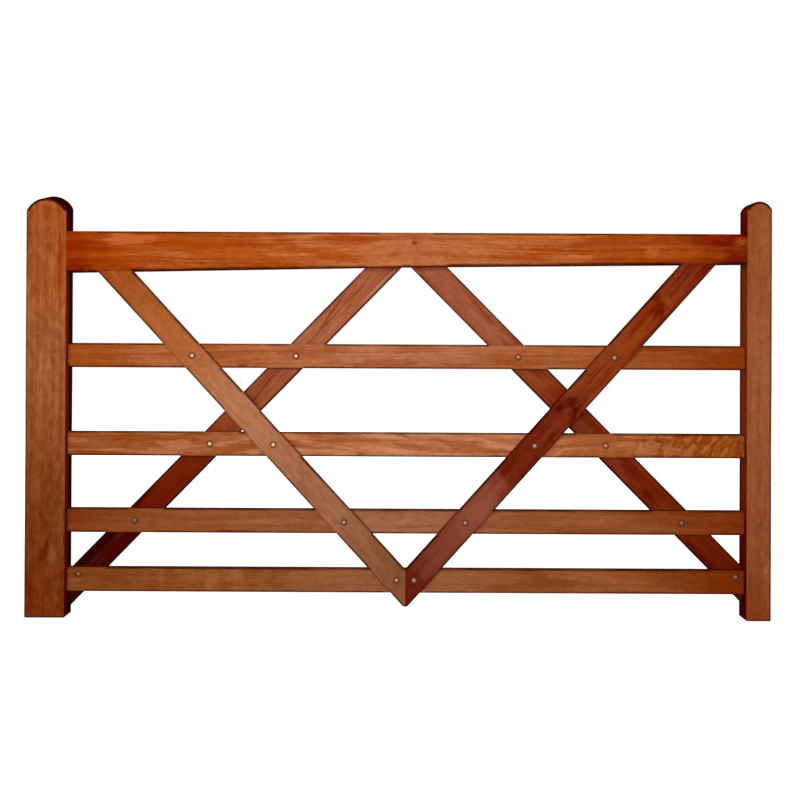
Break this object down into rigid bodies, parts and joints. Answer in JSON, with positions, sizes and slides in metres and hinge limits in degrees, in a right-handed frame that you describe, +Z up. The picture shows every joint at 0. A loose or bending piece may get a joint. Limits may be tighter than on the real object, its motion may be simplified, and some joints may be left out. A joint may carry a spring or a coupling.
{
  "type": "hardwood field gate",
  "caption": "Diamond-braced hardwood field gate leaf with rounded stiles, a tapered top rail, thin rails, crossed front and rear braces and pegged tenons.",
  "frame": {"origin": "on the outer face of the hanging stile, at the middle of its thickness and level with its foot", "axes": "+X across the gate from the hanging stile to the slamming stile, +Y from the front to the back, +Z up"},
  "size_m": [2.134, 0.07, 1.214],
  "materials": {
    "hanging_stile_timber": "oiled hardwood, light brown at the top and redder towards the foot",
    "slamming_stile_timber": "oiled hardwood, even brown with a fine grain",
    "top_rail_timber": "oiled hardwood, orange brown with long dark streaks",
    "rail_timber": "oiled hardwood, orange brown with a straight grain",
    "figured_rail_timber": "oiled hardwood with ribbon figure",
    "pale_brace_timber": "oiled hardwood, pale pinkish brown",
    "red_brace_timber": "oiled hardwood, deep red brown",
    "rear_brace_timber": "oiled hardwood, red brown",
    "peg_timber": "end grain of round hardwood pegs",
    "bolt_steel": "zinc plated"
  },
  "bodies": {
    "root": {"hanging_stile": "hanging_stile_timber", "slamming_stile": "slamming_stile_timber", "top_rail": "top_rail_timber", "upper_rail": "rail_timber", "middle_rail": "figured_rail_timber", "lower_rail": "rail_timber", "bottom_rail": "rail_timber", "front_brace_hanging": "pale_brace_timber", "front_brace_slamming": "red_brace_timber", "rear_brace_hanging": "rear_brace_timber", "rear_brace_slamming": "rear_brace_timber", "hanging_peg_top": "peg_timber", "hanging_peg_upper": "peg_timber", "hanging_peg_middle": "peg_timber", "hanging_peg_lower": "peg_timber", "hanging_peg_bottom": "peg_timber", "slamming_peg_top": "peg_timber", "slamming_peg_upper": "peg_timber", "slamming_peg_middle": "peg_timber", "slamming_peg_lower": "peg_timber", "slamming_peg_bottom": "peg_timber"}
  },
  "joints": []
}
